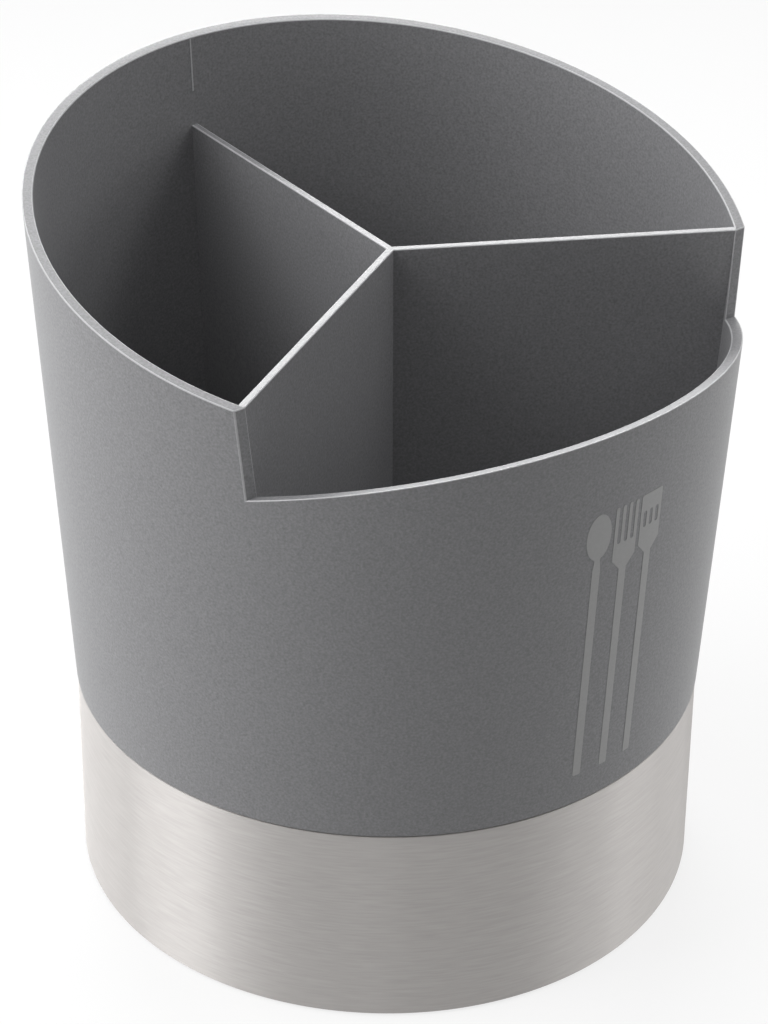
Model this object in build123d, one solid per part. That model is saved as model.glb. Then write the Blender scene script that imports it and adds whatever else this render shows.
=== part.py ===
from build123d import *
import os
from math import cos, radians, sin, tan

# Utensil crock: a moulded pot with a slanted rim, a lowered front and a three-way divider. Its foot is
# wrapped in a band of brushed steel and closed by a clip-in base cap on four soft feet.
# Millimetres and degrees, +Z up. The origin is the centre of the base on the table, the lowered front
# faces -Y and the highest point of the rim is at +Y.

# Overall form
band_radius = 69.0  # outside of the steel band
band_top = 48.0  # upper edge of the band
wall_lean = 3.3  # the moulded wall flares outwards above the band
rim_height = 156.6  # main rim, measured on the axis
rim_slope = 10.0  # the main rim climbs to the rear
front_rim_height = 118.4  # plane of the lowered front rim, measured on the axis
front_rim_slope = 16.4  # the lowered rim climbs to the front
step_distance = 37.2  # from the axis forward to the steps between the two rims
step_lean = 2.2  # the steps spread forwards as they go down

# Crock body
rim_wall = 2.3  # wall thickness where the main rim crosses the axis plane
cavity_lean = 3.5  # the inner wall flares more than the outer, so the wall thickens downwards
floor_height = 12.0  # inside floor above the table
floor_wall = 2.4
floor_bevel = 2.5  # flat across the inner corner between the floor and the walls
body_proud = 0.25  # the moulding stands this far outside the band
seam_gap = 0.15  # joint line between the band's upper edge and the moulding
seam_chamfer = 0.2
recess_lean = 1.0  # the hollow underside that takes the base cap narrows upwards

# Divider, moulded with the body
divider_wall = 1.6  # thickness along the top edge
divider_draft = 0.5  # each face leans out by this much towards the floor
divider_rise = 0.9  # the level top edge climbs by this much from the axis to the steps
arm_angles = (90.0, 210.0, 330.0)

# Steel band
sheet = 0.5
bead_depth = 1.6  # the foot bead stands below the turned-in lip
bead_width = 2.35  # from the band wall to the riser of the bead, on the sheet's middle
bead_outer_bend = 1.0  # each bend is one flat across the corner, this far from it on both sides
bead_inner_bend = 0.7
lip_width = 3.1  # from the riser to the lip's free edge
lip_overhang = 0.7  # the lip reaches this far in past the skirt that stands on it
band_clearance = 0.1  # between the band and the skirt inside it

# Base cap
cap_clearance = 0.3
cap_flange = 1.1  # thickness of the rim under the band's lip
cap_plate = 2.0
cap_wall = 1.6  # upright ring that clips into the skirt
cap_wall_height = 6.0
cap_rib_count = 6
cap_rib_height = 3.0
cap_hub_radius = 14.0
lug_count = 6
lug_reach = 1.5  # how far a clip lug stands out of the ring
lug_rise = 3.0  # from the top of the plate to the underside of the lug
lug_height = 1.6
lug_arc = 16.0
groove_clearance = 0.25

# Feet
foot_proud = 0.4  # the feet lift the band off the table by this much
foot_radius = 6.0
foot_inset = 13.0  # from the cap's clip ring in to the middle of each foot
foot_recess = 0.6
foot_clearance = 0.15  # between each foot and the side of its recess
foot_chamfer = 0.3

overrun = 30.0  # how far every cut passes the surface that it leaves by

# Heights that follow
band_foot = foot_proud
lip_low = band_foot + bead_depth
skirt_foot = lip_low + sheet
shoulder = band_top + seam_gap
step_height = rim_height - step_distance * tan(radians(rim_slope))
divider_height = step_height - divider_rise
blank_top = rim_height + (band_radius + overrun) * tan(radians(rim_slope))
cap_low = lip_low - cap_flange
plate_top = cap_low + cap_plate

# Radii that follow
skirt_radius = band_radius - sheet - band_clearance
foot_of_wall_radius = band_radius + body_proud
bead_riser_radius = band_radius - sheet / 2 - bead_width
flange_radius = bead_riser_radius - bead_inner_bend - cap_clearance
lip_inner_radius = bead_riser_radius - lip_width
recess_radius = lip_inner_radius + lip_overhang
cap_wall_radius = lip_inner_radius - cap_clearance
foot_circle = cap_wall_radius - foot_inset


def outer_radius(height):
    return foot_of_wall_radius + (height - shoulder) * tan(radians(wall_lean))


def inner_radius(height):
    rim_radius = outer_radius(rim_height) - rim_wall
    return rim_radius - (rim_height - height) * tan(radians(cavity_lean))


def revolved(points):
    """A closed outline of (radius, height) points, turned about the axis."""
    return revolve(make_face(Plane.XZ * Polyline(*points, close=True)), axis=Axis.Z)


def side_cut(points):
    """A closed outline of (y, z) points in the side view, run right across the crock."""
    outline = make_face(Plane.YZ * Polyline(*points, close=True))
    return extrude(outline, amount=band_radius + overrun, both=True)


def body_blank():
    """The outside of the moulding, still solid and not yet cut to the rim."""
    blank = revolved(
        [
            (0, skirt_foot),
            (skirt_radius, skirt_foot),
            (skirt_radius, shoulder),
            (foot_of_wall_radius, shoulder),
            (outer_radius(blank_top), blank_top),
            (0, blank_top),
        ]
    )
    seam_edge = blank.edges().filter_by(GeomType.CIRCLE).group_by(Axis.Z)[1].sort_by(SortBy.RADIUS)[-1]
    return chamfer(seam_edge, length=seam_chamfer)


def cavity_blank():
    """Everything inside the outer wall and above the floor."""
    return revolved(
        [
            (0, floor_height),
            (inner_radius(floor_height), floor_height),
            (inner_radius(blank_top), blank_top),
            (0, blank_top),
        ]
    )


def divider_arm(angle):
    """One arm of the divider from the axis outwards, thicker towards the floor."""
    top_half = divider_wall / 2
    foot_half = top_half + (divider_height - skirt_foot) * tan(radians(divider_draft))
    blank_half = top_half - (blank_top - divider_height) * tan(radians(divider_draft))
    across = Plane(
        origin=(0, 0, 0),
        x_dir=(-sin(radians(angle)), cos(radians(angle)), 0),
        z_dir=(cos(radians(angle)), sin(radians(angle)), 0),
    )
    section = Polyline(
        (-foot_half, skirt_foot),
        (foot_half, skirt_foot),
        (blank_half, blank_top),
        (-blank_half, blank_top),
        close=True,
    )
    return extrude(make_face(across * section), amount=band_radius + overrun)


def compartments():
    """The three hollows between the divider's arms, bevelled where the floor meets the walls."""
    hollows = cavity_blank() - [divider_arm(angle) for angle in arm_angles]
    around_floor = hollows.edges().group_by(Axis.Z)[0]
    return chamfer(around_floor, length=floor_bevel)


def space_over_divider():
    """The open space above the divider: level behind the axis, then climbing forward to the steps."""
    front, rear = -band_radius - overrun, band_radius + overrun
    under = side_cut(
        [
            (front, 0),
            (rear, 0),
            (rear, divider_height),
            (0, divider_height),
            (front, divider_height - front * divider_rise / step_distance),
        ]
    )
    return cavity_blank() - under


def rim_cut():
    """Removes everything above the rims: the slanted main rim, the steps and the lowered front."""
    front, rear = -band_radius - overrun, band_radius + overrun
    step_low = front_rim_height + step_distance * tan(radians(front_rim_slope))
    step_foot = -step_distance - (step_height - step_low) * tan(radians(step_lean))
    above = blank_top + overrun
    return side_cut(
        [
            (rear, rim_height + rear * tan(radians(rim_slope))),
            (-step_distance, step_height),
            (step_foot, front_rim_height - step_foot * tan(radians(front_rim_slope))),
            (front, front_rim_height - front * tan(radians(front_rim_slope))),
            (front, above),
            (rear, above),
        ]
    )


def underside():
    """The hollow below the floor, with the groove that the cap's clip lugs snap into."""
    ceiling = floor_height - floor_wall
    top_radius = recess_radius - (ceiling - skirt_foot) * tan(radians(recess_lean))
    hollow = revolved(
        [
            (0, skirt_foot - overrun),
            (recess_radius, skirt_foot - overrun),
            (recess_radius, skirt_foot),
            (top_radius, ceiling),
            (0, ceiling),
        ]
    )
    low = plate_top + lug_rise - groove_clearance
    high = plate_top + lug_rise + lug_height + groove_clearance
    reach = cap_wall_radius + lug_reach + groove_clearance
    groove = revolved([(0, low), (reach, low), (reach, high), (0, high)])
    return hollow + groove


def crock_body():
    body = body_blank() - compartments() - space_over_divider() - underside() - rim_cut()
    return body.solid()


def steel_band():
    """Rolled sheet: a straight wall, a bent foot bead and a flat lip turned in under the skirt."""
    half = sheet / 2
    wall, riser = band_radius - half, bead_riser_radius
    low, high = band_foot + half, lip_low + half
    middle = Polyline(
        (wall, band_top),
        (wall, low + bead_outer_bend),
        (wall - bead_outer_bend, low),
        (riser + bead_inner_bend, low),
        (riser, low + bead_inner_bend),
        (riser, high - bead_inner_bend),
        (riser - bead_inner_bend, high),
        (lip_inner_radius, high),
    )
    return revolve(Plane.XZ * trace(middle, line_width=sheet), axis=Axis.Z).solid()


def base_cap():
    """Plate under the floor, with a clip ring, stiffening ribs and recesses for the feet."""
    wall_top = plate_top + cap_wall_height
    cap = revolved(
        [
            (0, cap_low),
            (flange_radius, cap_low),
            (flange_radius, lip_low),
            (cap_wall_radius, lip_low),
            (cap_wall_radius, wall_top),
            (cap_wall_radius - cap_wall, wall_top),
            (cap_wall_radius - cap_wall, plate_top),
            (cap_hub_radius, plate_top),
            (cap_hub_radius, plate_top + cap_rib_height),
            (cap_hub_radius - cap_wall, plate_top + cap_rib_height),
            (cap_hub_radius - cap_wall, plate_top),
            (0, plate_top),
        ]
    )
    rib_length = cap_wall_radius - cap_hub_radius
    rib_middle = (cap_wall_radius + cap_hub_radius - cap_wall) / 2
    rib = Pos(rib_middle, 0, plate_top + cap_rib_height / 2) * Box(rib_length, cap_wall, cap_rib_height)
    cap += [Rot(0, 0, turn * 360 / cap_rib_count) * rib for turn in range(cap_rib_count)]
    cap += clip_lugs()
    cap -= [foot_place(name) * recess_cutter() for name in foot_angles]
    return cap.solid()


def clip_lugs():
    """Wedge-shaped lugs round the clip ring, square below and sloping above."""
    low = plate_top + lug_rise
    outline = make_face(
        Plane.XZ
        * Polyline(
            (cap_wall_radius - cap_wall / 2, low),
            (cap_wall_radius + lug_reach - lug_height / 2, low),
            (cap_wall_radius + lug_reach, low + lug_height / 2),
            (cap_wall_radius - cap_wall / 2, low + lug_height),
            close=True,
        )
    )
    lug = revolve(outline, axis=Axis.Z, revolution_arc=lug_arc)
    first = (360 / cap_rib_count - lug_arc) / 2
    return [Rot(0, 0, first + turn * 360 / lug_count) * lug for turn in range(lug_count)]


foot_angles = {
    "foot_rear_right": 45.0,
    "foot_rear_left": 135.0,
    "foot_front_left": 225.0,
    "foot_front_right": 315.0,
}


def foot_place(name):
    angle = radians(foot_angles[name])
    return Pos(foot_circle * cos(angle), foot_circle * sin(angle), 0)


def recess_cutter():
    depth = cap_low + foot_recess
    return Pos(0, 0, depth / 2) * Cylinder(foot_radius + foot_clearance, depth)


def foot(name):
    """Soft pad that sits in its recess and stands a little below the band."""
    thickness = cap_low + foot_recess
    pad = Pos(0, 0, thickness / 2) * Cylinder(foot_radius, thickness)
    pad = chamfer(pad.edges().filter_by(GeomType.CIRCLE).sort_by(Axis.Z)[0], length=foot_chamfer)
    return foot_place(name) * pad


def write(shape, name):
    shape.label = name
    export_step(shape, f"parts/{name}.step")
    print(name, "volume", round(shape.volume), "valid", shape.is_valid)


os.makedirs("parts", exist_ok=True)
write(crock_body(), "crock_body")
write(steel_band(), "steel_band")
write(base_cap(), "base_cap")
for foot_name in foot_angles:
    write(foot(foot_name), foot_name)
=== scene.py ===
import bmesh
import bpy
import math
from mathutils import Matrix, Vector


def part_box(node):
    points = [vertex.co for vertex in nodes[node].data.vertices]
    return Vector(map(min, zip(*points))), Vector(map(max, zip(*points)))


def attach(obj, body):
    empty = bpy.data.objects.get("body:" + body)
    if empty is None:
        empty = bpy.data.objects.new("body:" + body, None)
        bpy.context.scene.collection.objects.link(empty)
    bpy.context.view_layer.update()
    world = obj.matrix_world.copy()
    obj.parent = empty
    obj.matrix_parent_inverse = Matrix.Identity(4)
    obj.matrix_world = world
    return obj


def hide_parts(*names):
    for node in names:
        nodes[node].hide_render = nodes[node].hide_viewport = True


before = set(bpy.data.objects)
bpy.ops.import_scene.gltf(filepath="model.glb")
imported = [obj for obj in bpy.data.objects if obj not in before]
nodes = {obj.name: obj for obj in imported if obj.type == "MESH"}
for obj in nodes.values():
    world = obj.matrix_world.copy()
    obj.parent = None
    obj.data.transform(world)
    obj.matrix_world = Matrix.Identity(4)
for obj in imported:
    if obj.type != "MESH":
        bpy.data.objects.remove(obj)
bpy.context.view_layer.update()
print("frame loaded")

mm = 0.001
weld = 0.00001  # points of an outline this near to each other are one
sliver = 0.01  # a length below this counts as none
snap = 0.02  # a cut through a mesh goes through the points this near to it
onePlane = 0.05  # degrees between faces that count as one flat face
wholeTurn = {"axis": (0, 0, 1), "cent": (0, 0, 0), "angle": math.tau}


# Small helpers. Every outline, dictionary and length here is in millimetres and degrees.

def hexToLinear(code):
    channels = [int(code[i : i + 2], 16) / 255 for i in (1, 3, 5)]
    linear = [c / 12.92 if c <= 0.04045 else ((c + 0.055) / 1.055) ** 2.4 for c in channels]
    return (*linear, 1.0)


def leaned(distance, degrees):
    # How far a leaning line moves sideways over a distance
    return distance * math.tan(math.radians(degrees))


def turned(degrees, axis):
    return Matrix.Rotation(math.radians(degrees), 4, axis)


def newVerts(result):
    # The vertices that an operator made
    return [part for part in result["geom"] if isinstance(part, bmesh.types.BMVert)]


def edgesBetween(verts, test):
    # Edges at these vertices whose two ends both pass the test
    around = dict.fromkeys(edge for vert in verts for edge in vert.link_edges)
    return [edge for edge in around if all(test(vert) for vert in edge.verts)]


def addNode(tree, kind, links=None, **settings):
    # One node with its settings; links maps an input's name or number to a value or another node's output
    node = tree.nodes.new(kind)
    for key, value in settings.items():
        setattr(node, key, value)
    for key, value in (links or {}).items():
        if isinstance(value, bpy.types.NodeSocket):
            tree.links.new(value, node.inputs[key])
        else:
            node.inputs[key].default_value = value
    return node


def startMaterial(name, **shaderSettings):
    material = bpy.data.materials.new(name)
    material.use_nodes = True
    tree = material.node_tree
    shader = tree.nodes["Principled BSDF"]
    for key, value in shaderSettings.items():
        shader.inputs[key.replace("_", " ")].default_value = value
    return material, tree, shader


def makePiece(bm, name, material):
    # Turns a bmesh drawn in millimetres into an object at the origin
    bmesh.ops.scale(bm, vec=(mm, mm, mm), verts=bm.verts)
    mesh = bpy.data.meshes.new(name)
    bm.to_mesh(mesh)
    bm.free()
    piece = bpy.data.objects.new(name, mesh)
    bpy.context.scene.collection.objects.link(piece)
    mesh.materials.append(material)
    return piece


def applyModifiers(piece):
    bpy.context.view_layer.update()
    shaped = bpy.data.meshes.new_from_object(piece.evaluated_get(bpy.context.evaluated_depsgraph_get()))
    piece.modifiers.clear()
    piece.data = shaped
    return piece


def combine(piece, tool, operation):
    # Exact boolean with another piece, which is used up
    modifier = piece.modifiers.new("combine", "BOOLEAN")
    modifier.operation = operation
    modifier.solver = "EXACT"
    modifier.object = tool
    applyModifiers(piece)
    bpy.data.objects.remove(tool)


def smoothSkin(piece, sharpAngle=35, flatSides=12):
    # Rounds the shading, led by the large faces; flat faces of many sides and true corners stay as they are
    bm = bmesh.new()
    bm.from_mesh(piece.data)
    for face in bm.faces:
        face.smooth = len(face.verts) < flatSides
    for edge in bm.edges:
        edge.smooth = edge.calc_face_angle(math.pi) < math.radians(sharpAngle)
    bm.to_mesh(piece.data)
    bm.free()
    normals = piece.modifiers.new("normals", "WEIGHTED_NORMAL")
    normals.keep_sharp = True
    normals.weight = 100
    return applyModifiers(piece)


def roundEdges(piece, roundings, segments=3, finish=-1):
    # roundings gives each edge its radius, or zero to leave it alone; finish is the number of a material
    bm = bmesh.new()
    bm.from_mesh(piece.data)
    bm.normal_update()
    weights = bm.edges.layers.float.new("bevel_weight_edge")
    radii = {edge: roundings(edge) for edge in bm.edges if edge.is_manifold}
    widest = max(radii.values())
    for edge, radius in radii.items():
        edge[weights] = radius / widest
    bm.to_mesh(piece.data)
    bm.free()
    bevel = piece.modifiers.new("rounding", "BEVEL")
    bevel.limit_method = "WEIGHT"
    bevel.width = widest * mm
    bevel.segments = segments
    bevel.profile = 0.5
    bevel.use_clamp_overlap = False
    bevel.material = finish
    return applyModifiers(piece)


def spinOutline(points, steps):
    # Turns an outline of (radius, height) points that starts and ends on the axis into a closed skin
    bm = bmesh.new()
    verts = [bm.verts.new((radius, 0, height)) for radius, height in points]
    edges = [bm.edges.new(pair) for pair in zip(verts, verts[1:])]
    bmesh.ops.spin(bm, geom=verts + edges, steps=steps, use_merge=True, **wholeTurn)
    bmesh.ops.remove_doubles(bm, verts=bm.verts, dist=weld)
    bmesh.ops.recalc_face_normals(bm, faces=bm.faces)
    return bm


# Camera: a long lens from the left front, looking down into the crock

cameraLook = {
    "standOff": 639.1,  # level distance from the crock's axis
    "height": 486.4,
    "turn": -37.06,  # degrees round the crock, from straight in front
    "aside": 0.08,  # degrees that the lens points past the axis
    "down": 32.18,
    "roll": 0.55,
    "lens": 121.63,
    "film": 36.0,
    "near": 10.0,  # nothing closer to the lens is drawn
}


def placeCamera(look):
    data = bpy.data.cameras.new("camera")
    data.sensor_fit = "VERTICAL"
    data.sensor_height = look["film"]
    data.lens = look["lens"]
    data.clip_start = look["near"] * mm
    camera = bpy.data.objects.new("camera", data)
    bpy.context.scene.collection.objects.link(camera)
    place = turned(look["turn"], "Z") @ Vector((0, -look["standOff"], look["height"]))
    heading = turned(look["turn"] + look["aside"], "Z")
    tilt = turned(90 - look["down"], "X")
    camera.matrix_world = Matrix.Translation(place * mm) @ heading @ tilt @ turned(look["roll"], "Z")
    bpy.context.scene.camera = camera


placeCamera(cameraLook)
print("camera placed")


# Studio: a pale floor, white surroundings and soft boxes round the crock

studio = {
    "floorColour": "#eaeaea",
    "floorWhite": 0.78,  # share of plain white that the eye and reflections see in the floor
    "bounceColour": "#bcbcbc",  # what the floor throws back on the crock
    "floorSize": 12000.0,
    "aimHeight": 80.0,  # every soft box faces the crock at this height
    "distance": 1000.0,
    # name: (degrees round from the camera, degrees up, width, height, watts, beam)
    "softBoxes": {
        "top": (0, 86, 800, 800, 2.6, 180),
        "frontHigh": (-18, 47, 600, 560, 1.0, 180),
        "leftFront": (-50, 40, 400, 500, 0.9, 180),
        "leftHigh": (-80, 45, 700, 450, 5.0, 180),
        "leftLow": (-78, 18, 600, 400, 3.4, 180),
        "leftRear": (-114, 16, 600, 400, 3.3, 180),
        "rightLow": (106, 18, 900, 400, 2.3, 180),
        "rightHigh": (92, 45, 600, 450, 2.6, 180),
        "rear": (188, 28, 800, 400, 1.3, 60),  # puts the bright sheen on the rims
    },
}


def seenRays(tree):
    # 1 for what the camera, reflections and clear parts see, 0 for light that falls on other things
    path = addNode(tree, "ShaderNodeLightPath")
    seen = path.outputs["Is Camera Ray"]
    for ray in ("Is Glossy Ray", "Is Transmission Ray"):
        either = {0: seen, 1: path.outputs[ray]}
        seen = addNode(tree, "ShaderNodeMath", either, operation="MAXIMUM").outputs[0]
    return seen


def makeWorld():
    # Plain white, seen only past the floor's edge and in reflections
    world = bpy.data.worlds.new("studioWorld")
    bpy.context.scene.world = world
    world.use_nodes = True
    tree = world.node_tree
    background = tree.nodes["Background"]
    background.inputs["Color"].default_value = (1, 1, 1, 1)
    tree.links.new(seenRays(tree), background.inputs["Strength"])


def makeFloor(look):
    # Matt white paint that shows lighter than it is lit, keeps the crock's shadow and throws less light back
    bm = bmesh.new()
    bmesh.ops.create_grid(bm, x_segments=1, y_segments=1, size=look["floorSize"] / 2)
    material, tree, shader = startMaterial("paintedStudioFloor", Roughness=0.9, Specular_IOR_Level=0.0)
    seen = seenRays(tree)
    colours = {"Factor": seen, 6: hexToLinear(look["bounceColour"]), 7: hexToLinear(look["floorColour"])}
    tone = addNode(tree, "ShaderNodeMix", colours, data_type="RGBA")
    tree.links.new(tone.outputs[2], shader.inputs["Base Color"])
    white = addNode(tree, "ShaderNodeEmission", {"Color": (1, 1, 1, 1), "Strength": 1.0})
    share = addNode(tree, "ShaderNodeMath", {0: seen, 1: look["floorWhite"]}, operation="MULTIPLY")
    parts = {0: share.outputs[0], 1: shader.outputs[0], 2: white.outputs[0]}
    mix = addNode(tree, "ShaderNodeMixShader", parts)
    tree.links.new(mix.outputs[0], tree.nodes["Material Output"].inputs["Surface"])
    floor = makePiece(bm, "floor", material)


def addSoftBox(look, name):
    aside, up, width, height, power, beam = look["softBoxes"][name]
    data = bpy.data.lights.new(name, "AREA")
    data.shape = "RECTANGLE"
    data.size = width * mm
    data.size_y = height * mm
    data.energy = power
    data.spread = math.radians(beam)
    light = bpy.data.objects.new(name, data)
    bpy.context.scene.collection.objects.link(light)
    heading = turned(cameraLook["turn"] + aside, "Z")
    reach = turned(-up, "X") @ Vector((0, -look["distance"], 0))
    place = heading @ reach + Vector((0, 0, look["aimHeight"]))
    light.matrix_world = Matrix.Translation(place * mm) @ heading @ turned(90 - up, "X")


bpy.context.scene.view_settings.view_transform = "Standard"
makeWorld()
makeFloor(studio)
for boxName in studio["softBoxes"]:
    addSoftBox(studio, boxName)
print("studio ready")


# Materials. A finish has the size of its grain and the two tones that the grain runs between.

finishes = {
    # The real grain is about 0.1 mm, drawn as coarse as it needs to show
    "body": {"grainSize": 0.5, "dark": "#616163", "light": "#979799"},
    # Painted highlight: lighter tones for the rounded corners and the witness line, standing in for the light
    # they catch
    "paintedHighlight": {"grainSize": 0.5, "dark": "#a6a6a8", "light": "#bebec0"},
    # Brush marks are about 7 mm long and under 0.1 mm wide, drawn as wide as they need to show
    "steel": {"markLength": 7.0, "markWidth": 0.4, "dark": "#9e9b99", "light": "#b5b2b0"},
    # The rest are only faintly uneven, over about a millimetre
    "cap": {"grainSize": 1.2, "dark": "#3e3f41", "light": "#48494b"},
    "rubber": {"grainSize": 0.8, "dark": "#222222", "light": "#2c2c2c"},
    "ink": {"grainSize": 0.7, "dark": "#a0a0a0", "light": "#acacac"},
}


def colourBetween(tree, shader, factor, look):
    # The base colour runs between the finish's two tones
    tones = {"Factor": factor, 6: hexToLinear(look["dark"]), 7: hexToLinear(look["light"])}
    tone = addNode(tree, "ShaderNodeMix", tones, data_type="RGBA")
    tree.links.new(tone.outputs[2], shader.inputs["Base Color"])


def colourByGrain(tree, shader, look):
    coords = addNode(tree, "ShaderNodeTexCoord")
    spread = {"Vector": coords.outputs["Object"], "Scale": 1 / (look["grainSize"] * mm), "Detail": 2.0}
    grain = addNode(tree, "ShaderNodeTexNoise", spread)
    colourBetween(tree, shader, grain.outputs[0], look)
    return grain.outputs[0]


def makeBodyPlastic(name, look):
    # Grey polypropylene moulded in a finely eroded tool: a broad satin sheen over a fine even grain
    material, tree, shader = startMaterial(name, Roughness=0.4, IOR=1.49)
    grain = colourByGrain(tree, shader, look)
    bump = addNode(tree, "ShaderNodeBump", {"Height": grain, "Strength": 0.15, "Distance": 0.1 * mm})
    tree.links.new(bump.outputs[0], shader.inputs["Normal"])
    return material


def makeBandSteel(look):
    # Stainless sheet brushed along the roll: fine streaks round the band, which spread light up and down
    sheen = {"Roughness": 0.5, "Anisotropic": 1.0, "Anisotropic_Rotation": 0.25}
    material, tree, shader = startMaterial("brushedStainlessSteel", Metallic=1.0, **sheen)
    along = 1 / (look["markLength"] * mm)
    across = 1 / (look["markWidth"] * mm)
    coords = addNode(tree, "ShaderNodeTexCoord")
    stretched = {"Vector": coords.outputs["Object"], "Scale": (along, along, across)}
    marks = addNode(tree, "ShaderNodeMapping", stretched)
    streaks = addNode(tree, "ShaderNodeTexNoise", {"Vector": marks.outputs[0], "Scale": 1.0, "Detail": 3.0})
    colourBetween(tree, shader, streaks.outputs[0], look)
    spread = {"Value": streaks.outputs[0], "To Min": 0.48, "To Max": 0.52}
    rough = addNode(tree, "ShaderNodeMapRange", spread)
    tree.links.new(rough.outputs[0], shader.inputs["Roughness"])
    height = {"Height": streaks.outputs[0], "Strength": 0.25, "Distance": 0.05 * mm}
    bump = addNode(tree, "ShaderNodeBump", height)
    tree.links.new(bump.outputs[0], shader.inputs["Normal"])
    return material


def makeCapPlastic(look):
    # Dark polypropylene as it leaves the mould: dull, with a faint cloudiness
    material, tree, shader = startMaterial("mouldedCapPlastic", Roughness=0.6, IOR=1.49)
    colourByGrain(tree, shader, look)
    return material


def makeFootRubber(look):
    # Soft thermoplastic rubber: near black and matt
    material, tree, shader = startMaterial("softRubber", Roughness=0.8, IOR=1.5)
    colourByGrain(tree, shader, look)
    return material


def makePrintInk(look):
    # Pad-printed light grey ink: thin, even and more matt than the wall
    material, tree, shader = startMaterial("padPrintedInk", Roughness=0.55, IOR=1.5)
    colourByGrain(tree, shader, look)
    return material


bodyPlastic = makeBodyPlastic("mouldedPolypropylene", finishes["body"])
# Corners and the fine line in the wall get a lighter tone: a painted highlight where they catch the light
paintedHighlightPlastic = makeBodyPlastic("paintedHighlightPolypropylene", finishes["paintedHighlight"])
print("materials made")


# Crock body: outer wall, slanted and lowered rims, floor and the three-way divider in one moulding

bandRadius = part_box("steel_band")[1].x / mm
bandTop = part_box("steel_band")[1].z / mm
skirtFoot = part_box("crock_body")[0].z / mm

crockBody = {
    "wallLean": 3.3,
    "rimHeight": 156.6,  # main rim, measured on the axis
    "rimSlope": 10.0,
    "frontRimHeight": 118.4,
    "frontRimSlope": 16.4,
    "stepDistance": 37.2,  # from the axis forward to the steps between the two rims
    "stepLean": 2.2,
    "rimWall": 2.3,
    "cavityLean": 3.5,
    "floorHeight": 12.0,
    "floorWall": 2.4,
    "proud": 0.25,  # the moulding stands this far outside the band
    "seamGap": 0.15,
    "seamChamfer": 0.45,
    "skirtInset": 0.6,
    "recessRadius": 64.0,  # hollow underside that takes the base cap
    "recessLean": 1.0,
    "grooveLow": 6.05,  # groove for the cap's clip lugs
    "grooveHigh": 8.15,
    "grooveRadius": 64.75,
    "dividerWall": 1.6,
    "dividerDraft": 0.5,
    "dividerRise": 0.9,  # the top edge climbs this much from the axis to the steps
    "dividerRoot": 1.2,  # the arms and the divider's foot reach this far into the walls that carry them
    "witnessWidth": 0.35,
    "witnessProud": 0.1,
    "witnessRise": 8.0,  # the line fades out this far above the rear arm
    "steps": 160,
    "cornerAngle": 20.0,  # the moulding's faces turn more than this at a corner
    "rimRound": 0.25,
    "dividerRound": 0.25,
    "floorRound": 3.0,
}
shoulder = bandTop + crockBody["seamGap"]
stepHeight = crockBody["rimHeight"] - leaned(crockBody["stepDistance"], crockBody["rimSlope"])
dividerHeight = stepHeight - crockBody["dividerRise"]
blankReach = 1.3 * bandRadius  # the blank is as tall as the main rim's plane is at this distance
blankTop = crockBody["rimHeight"] + leaned(blankReach, crockBody["rimSlope"])


def outerRadius(look, height):
    return bandRadius + look["proud"] + leaned(height - shoulder, look["wallLean"])


def innerRadius(look, height):
    atRim = outerRadius(look, look["rimHeight"]) - look["rimWall"]
    return atRim - leaned(look["rimHeight"] - height, look["cavityLean"])


def recessRadiusAt(look, height):
    return look["recessRadius"] - leaned(height - skirtFoot, look["recessLean"])


def floorCurve(look, parts=3):
    # (height, distance from the wall) along the rounded corner between the floor and each wall on it
    turns = [math.radians(90 * part / parts) for part in range(parts + 1)]
    radius = look["floorRound"]
    return [(look["floorHeight"] + radius * (1 - math.cos(t)), radius * (1 - math.sin(t))) for t in turns]


def shellOutline(look):
    # Half a section: from the axis under the floor, round the skirt, up the wall and back over the floor
    ceiling = look["floorHeight"] - look["floorWall"]
    skirt = bandRadius - look["skirtInset"]
    low, high = look["grooveLow"], look["grooveHigh"]
    chamferTop = shoulder + look["seamChamfer"]
    return [
        (0, ceiling),
        (recessRadiusAt(look, ceiling), ceiling),
        (recessRadiusAt(look, high), high),
        (look["grooveRadius"], high),
        (look["grooveRadius"], low),
        (recessRadiusAt(look, low), low),
        (look["recessRadius"], skirtFoot),
        (skirt, skirtFoot),
        (skirt, shoulder),
        (bandRadius + look["proud"] - look["seamChamfer"], shoulder),
        (outerRadius(look, chamferTop), chamferTop),
        (outerRadius(look, blankTop), blankTop),
        (innerRadius(look, blankTop), blankTop),
        *[(innerRadius(look, height) - reach, height) for height, reach in reversed(floorCurve(look))],
        (0, look["floorHeight"]),
    ]


def dividerSlice(bm, look, half, height, rise):
    # A triangle on the axis with an arm drawn out of each side; the top slice climbs towards the front
    known = set(bm.verts) | set(bm.faces)
    upright = Matrix.Translation((0, 0, height)) @ turned(180, "Z")
    radius = half / math.cos(math.radians(30))  # makes each side as wide as an arm
    core = bmesh.ops.create_circle(bm, cap_ends=True, segments=3, radius=radius, matrix=upright)["verts"]
    for side in edgesBetween(core, lambda vert: True):
        middle = (side.verts[0].co + side.verts[1].co) / 2
        outward = Vector((middle.x, middle.y, 0)).normalized()
        reach = innerRadius(look, height) + look["dividerRoot"] - middle.to_2d().length
        tip = newVerts(bmesh.ops.extrude_edge_only(bm, edges=[side]))
        bmesh.ops.translate(bm, verts=tip, vec=outward * reach)
    for vert in bm.verts:
        if vert not in known:
            vert.co.z += rise * max(0, -vert.co.y) / look["stepDistance"]
    return [face for face in bm.faces if face not in known]


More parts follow.
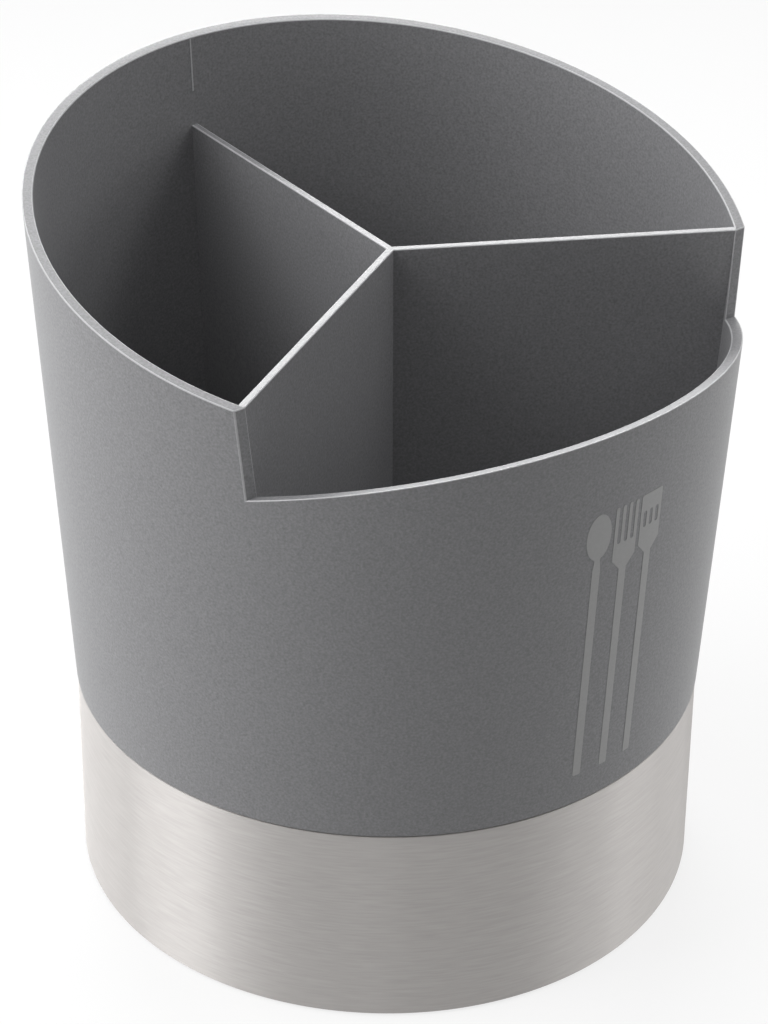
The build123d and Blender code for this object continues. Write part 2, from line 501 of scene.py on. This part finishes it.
def makeDivider(look, material):
    # Level slices from a root in the floor up to the top edge, each joined to the one below
    root = (look["floorHeight"] - look["dividerRoot"], look["floorRound"])
    bm = bmesh.new()
    for height, reach in [root, *floorCurve(look), (dividerHeight, 0)]:
        half = look["dividerWall"] / 2 + leaned(dividerHeight - height, look["dividerDraft"]) + reach
        lid = dividerSlice(bm, look, half, height, look["dividerRise"] if height == dividerHeight else 0)
        bmesh.ops.bridge_loops(bm, edges=[edge for edge in bm.edges if edge.is_boundary])
        if look["floorHeight"] <= height < dividerHeight:
            bmesh.ops.delete(bm, geom=lid, context="FACES")
    bmesh.ops.recalc_face_normals(bm, faces=bm.faces)
    return makePiece(bm, "divider", material)


def makeWitnessLine(look, material):
    # A fine raised line down the inner wall from the rim, where two mould cores met above the rear arm
    low, high = dividerHeight + look["witnessRise"], blankTop
    bm = bmesh.new()
    bmesh.ops.create_cube(bm, size=1)
    bmesh.ops.scale(bm, vec=(look["witnessWidth"], look["dividerRoot"], high - low), verts=bm.verts)
    for vert in bm.verts:
        vert.co.z += (low + high) / 2
        vert.co.y += innerRadius(look, vert.co.z) + look["dividerRoot"] / 2 - look["witnessProud"]
    # The line takes material 1, the lighter painted highlight
    for face in bm.faces:
        face.material_index = 1
    return makePiece(bm, "witnessLine", material)


def makeRimCutter(look, material):
    # Everything above the rims, as a side view run right across the crock
    reach = 1.4 * bandRadius  # past the blank on every side
    stepLow = look["frontRimHeight"] + leaned(look["stepDistance"], look["frontRimSlope"])
    stepFoot = -look["stepDistance"] - leaned(stepHeight - stepLow, look["stepLean"])
    sideView = [
        (reach, look["rimHeight"] + leaned(reach, look["rimSlope"])),
        (-look["stepDistance"], stepHeight),
        (stepFoot, look["frontRimHeight"] - leaned(stepFoot, look["frontRimSlope"])),
        (-reach, look["frontRimHeight"] + leaned(reach, look["frontRimSlope"])),
        (-reach, blankTop + reach),
        (reach, blankTop + reach),
    ]
    bm = bmesh.new()
    side = bm.faces.new([bm.verts.new((-reach, y, z)) for y, z in sideView])
    across = newVerts(bmesh.ops.extrude_face_region(bm, geom=[side]))
    bmesh.ops.translate(bm, verts=across, vec=(2 * reach, 0, 0))
    bmesh.ops.recalc_face_normals(bm, faces=bm.faces)
    return makePiece(bm, "rimCutter", material)


def onRim(face, look, upward=0.8):
    # Faces that look mostly up from the top of the wall, which is all outside the cavity
    lowest = 2 * bandTop
    if face.normal.z < upward or face.calc_center_median().z < lowest * mm:
        return False
    places = [vert.co / mm for vert in face.verts]
    return all(co.to_2d().length > innerRadius(look, co.z) - look["rimWall"] / 2 for co in places)


def tidyCuts(piece, look):
    # Drops slivers left by the booleans, joins what lies in one plane, then parts the rims into short faces
    bm = bmesh.new()
    bm.from_mesh(piece.data)
    bmesh.ops.remove_doubles(bm, verts=bm.verts, dist=sliver * mm)
    bmesh.ops.dissolve_degenerate(bm, edges=bm.edges, dist=snap * mm)
    bmesh.ops.dissolve_limit(bm, angle_limit=math.radians(onePlane), verts=bm.verts, edges=bm.edges)
    for turn in range(look["steps"] // 2):
        angle = math.tau * turn / look["steps"]
        rims = [face for face in bm.faces if onRim(face, look)]
        parts = dict.fromkeys(part for face in rims for part in [face, *face.edges, *face.verts])
        across = (math.sin(angle), -math.cos(angle), 0)
        bmesh.ops.bisect_plane(bm, geom=list(parts), dist=snap * mm, plane_co=(0, 0, 0), plane_no=across)
    bm.to_mesh(piece.data)
    bm.free()


def bodyRounding(edge):
    # Only outward corners of the rims, the steps and the divider are rounded
    look = crockBody
    if edge.calc_face_angle(0) < math.radians(look["cornerAngle"]) or not edge.is_convex:
        return 0
    middle = (edge.verts[0].co + edge.verts[1].co) / 2 / mm
    radius = middle.to_2d().length
    overRearArm = middle.y > 0 and abs(middle.x) < look["witnessWidth"]
    onWitnessLine = overRearArm and middle.z > dividerHeight + look["dividerRoot"]
    underFloor = middle.z < look["floorHeight"] - look["floorWall"] / 2
    atSeam = radius > bandRadius and middle.z < shoulder + 2 * look["seamChamfer"]
    if onWitnessLine or underFloor or atSeam:
        return 0
    inside = radius < innerRadius(look, middle.z) - look["dividerRound"]
    return look["dividerRound"] if inside else look["rimRound"]


def makeCrockBody(look, material, paintedHighlight):
    body = makePiece(spinOutline(shellOutline(look), look["steps"]), "crock_moulding", material)
    body.data.materials.append(paintedHighlight)
    combine(body, makeDivider(look, material), "UNION")
    combine(body, makeWitnessLine(look, material), "UNION")
    combine(body, makeRimCutter(look, material), "DIFFERENCE")
    tidyCuts(body, look)
    # The rounded edges take material 1, the lighter painted highlight
    roundEdges(body, bodyRounding, finish=1)
    smoothSkin(body)
    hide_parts("crock_body")
    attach(body, "root")
    return body


body = makeCrockBody(crockBody, bodyPlastic, paintedHighlightPlastic)
print("crock body made", len(body.data.polygons), "faces")


# Steel band: one sheet rolled straight, with a rounded foot bead and a lip turned in under the skirt

steelBand = {
    "sheet": 0.5,
    "beadDepth": 1.6,
    "beadWidth": 2.35,
    "outerBend": 0.4,
    "innerBend": 0.7,
    "bendParts": 5,
    "lipWidth": 3.1,
    "edgeRound": 0.14,  # where the cut edges were tumbled
    "cornerAngle": 60.0,
    "steps": 256,
}


def sheetRounding(edge):
    # Only the two cut edges of the sheet are corners; the bends are round already
    look = steelBand
    return look["edgeRound"] if edge.calc_face_angle(0) > math.radians(look["cornerAngle"]) else 0


def makeSteelBand(look, material):
    # The middle of the sheet is drawn, bent, turned round the axis and then given its thickness
    half = look["sheet"] / 2
    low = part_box("steel_band")[0].z / mm + half
    wall = bandRadius - half
    riser = wall - look["beadWidth"]
    bends = {(wall, low): look["outerBend"], (riser, low): look["innerBend"]}
    bends[riser, low + look["beadDepth"]] = look["innerBend"]
    corners = [(wall, bandTop), *bends, (riser - look["lipWidth"], low + look["beadDepth"])]
    bend = {"segments": look["bendParts"], "profile": 0.5, "affect": "VERTICES", "material": -1}
    bm = bmesh.new()
    verts = [bm.verts.new((radius, 0, height)) for radius, height in corners]
    for pair in zip(verts, verts[1:]):
        bm.edges.new(pair)
    for vert, radius in zip(verts[1:], bends.values()):
        bmesh.ops.bevel(bm, geom=[vert], offset=radius, **bend)
    bmesh.ops.spin(bm, geom=bm.verts[:] + bm.edges[:], steps=look["steps"], use_merge=True, **wholeTurn)
    bmesh.ops.recalc_face_normals(bm, faces=bm.faces)
    band = makePiece(bm, "rolled_steel_band", material)
    sheet = band.modifiers.new("sheet", "SOLIDIFY")
    sheet.thickness = look["sheet"] * mm
    sheet.offset = 0
    sheet.use_even_offset = True
    applyModifiers(band)
    roundEdges(band, sheetRounding)
    smoothSkin(band)
    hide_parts("steel_band")
    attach(band, "root")
    return band


band = makeSteelBand(steelBand, makeBandSteel(finishes["steel"]))
print("steel band made", len(band.data.polygons), "faces")


# Print on the front wall: a generic row of a spoon, a fork and a slotted turner, as slim silhouettes

utensilPrint = {
    "azimuth": -86.5,
    "low": 56.0,  # lower ends of the handles
    "high": 122.0,
    "spacing": 7.1,
    "handle": 2.0,
    "neck": 2.5,  # a head narrows to its handle over this length
    "neckGrip": 0.3,  # the neck starts from the edges this near to the foot of a head
    "headWidth": 6.2,
    "spoonTall": 11.0,
    "spoonParts": 32,
    "forkTall": 13.0,
    "tinesFrom": 0.3,  # share of the fork's head below its tines
    "turnerTall": 12.0,
    "corner": 0.45,
    "cornerAngle": 130.0,  # the drawing's corners are narrower than this
    "ink": 0.06,
}


def drawHandle(bm, verts, look):
    # Draws the lowest edges of a head down into a neck and a handle
    foot = min(vert.co.y for vert in verts)
    across = edgesBetween(verts, lambda vert: vert.co.y < foot + look["neckGrip"])
    for reach in (look["neck"], foot - look["neck"] - look["low"]):
        moved = newVerts(bmesh.ops.extrude_edge_only(bm, edges=across))
        across = edgesBetween(moved, lambda vert: vert in moved)
        places = [vert.co.x for vert in moved]
        centre = sum(places) / len(moved)
        narrowed = look["handle"] / (max(places) - min(places))
        for vert in moved:
            vert.co = Vector((centre + (vert.co.x - centre) * narrowed, foot - reach, 0))
        foot -= reach


def drawSpoon(bm, look, middle):
    size = (look["headWidth"] / 2, look["spoonTall"] / 2)
    place = Matrix.Translation((middle, look["high"] - size[1], 0)) @ Matrix.Diagonal((*size, 1, 1))
    circle = {"segments": look["spoonParts"], "radius": 1, "matrix": place}
    bowl = bmesh.ops.create_circle(bm, cap_ends=True, **circle)["verts"]
    drawHandle(bm, bowl, look)


def drawGrid(bm, look, middle, low, high, rows):
    # Seven columns wide, so that tines and slots alternate with what lies between them
    size = (look["headWidth"] / 2, (high - low) / 2)
    place = Matrix.Translation((middle, low + size[1], 0)) @ Matrix.Diagonal((*size, 1, 1))
    return bmesh.ops.create_grid(bm, x_segments=7, y_segments=rows, size=1, matrix=place)["verts"]


def drawFork(bm, look, middle):
    low = look["high"] - look["forkTall"]
    root = low + look["tinesFrom"] * look["forkTall"]
    verts = drawGrid(bm, look, middle, low, root, 1)
    top = edgesBetween(verts, lambda vert: vert.co.y > root - sliver)
    top.sort(key=lambda edge: edge.verts[0].co.x + edge.verts[1].co.x)
    drawHandle(bm, verts, look)
    for edge in top[::2]:
        tip = newVerts(bmesh.ops.extrude_edge_only(bm, edges=[edge]))
        bmesh.ops.translate(bm, verts=tip, vec=(0, look["high"] - root, 0))


def drawTurner(bm, look, middle):
    verts = drawGrid(bm, look, middle, look["high"] - look["turnerTall"], look["high"], 3)
    faces = dict.fromkeys(face for vert in verts for face in vert.link_faces)
    centre = look["high"] - look["turnerTall"] / 2
    row = [face for face in faces if abs(face.calc_center_median().y - centre) < sliver]
    row.sort(key=lambda face: face.calc_center_median().x)
    drawHandle(bm, verts, look)
    bmesh.ops.delete(bm, geom=row[1::2], context="FACES_ONLY")


def isCorner(vert, look):
    outline = [edge for edge in vert.link_edges if edge.is_boundary]
    if len(outline) != 2:
        return False
    ways = [edge.other_vert(vert).co - vert.co for edge in outline]
    return ways[0].angle(ways[1]) < math.radians(look["cornerAngle"])


def makeUtensilPrint(look, material):
    bm = bmesh.new()
    drawSpoon(bm, look, -look["spacing"])
    drawFork(bm, look, 0)
    drawTurner(bm, look, look["spacing"])
    corners = [vert for vert in bm.verts if isCorner(vert, look)]
    rounding = {"offset": look["corner"], "segments": 3, "profile": 0.5, "affect": "VERTICES", "material": -1}
    bmesh.ops.bevel(bm, geom=corners, **rounding)
    side = math.ceil(look["spacing"] + look["headWidth"] / 2)
    for step in range(-side, side + 1):
        # A cut in every millimetre across lets the drawing bend round the wall
        geometry = bm.verts[:] + bm.edges[:] + bm.faces[:]
        bmesh.ops.bisect_plane(bm, geom=geometry, dist=snap, plane_co=(step, 0, 0), plane_no=(1, 0, 0))
    skin = newVerts(bmesh.ops.extrude_face_region(bm, geom=bm.faces[:]))
    bmesh.ops.translate(bm, verts=skin, vec=(0, 0, look["ink"]))
    bmesh.ops.recalc_face_normals(bm, faces=bm.faces)
    for vert in bm.verts:
        # Wraps the flat drawing round the wall: across becomes an arc, up becomes the height
        radius = outerRadius(crockBody, vert.co.y)
        angle = math.radians(look["azimuth"]) + vert.co.x / radius
        outward = Vector((math.cos(angle), math.sin(angle), 0))
        vert.co = outward * (radius + vert.co.z) + Vector((0, 0, vert.co.y))
    ink = makePiece(bm, "utensil_print", material)
    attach(ink, "root")
    return ink


ink = makeUtensilPrint(utensilPrint, makePrintInk(finishes["ink"]))
print("print made", len(ink.data.polygons), "faces")


# Base cap and feet keep their CAD shape


def dressNode(node, material):
    nodes[node].data.materials.clear()
    nodes[node].data.materials.append(material)


dressNode("base_cap", makeCapPlastic(finishes["cap"]))
rubber = makeFootRubber(finishes["rubber"])
for node in nodes:
    if node.startswith("foot_"):
        dressNode(node, rubber)
print("base cap and feet dressed")
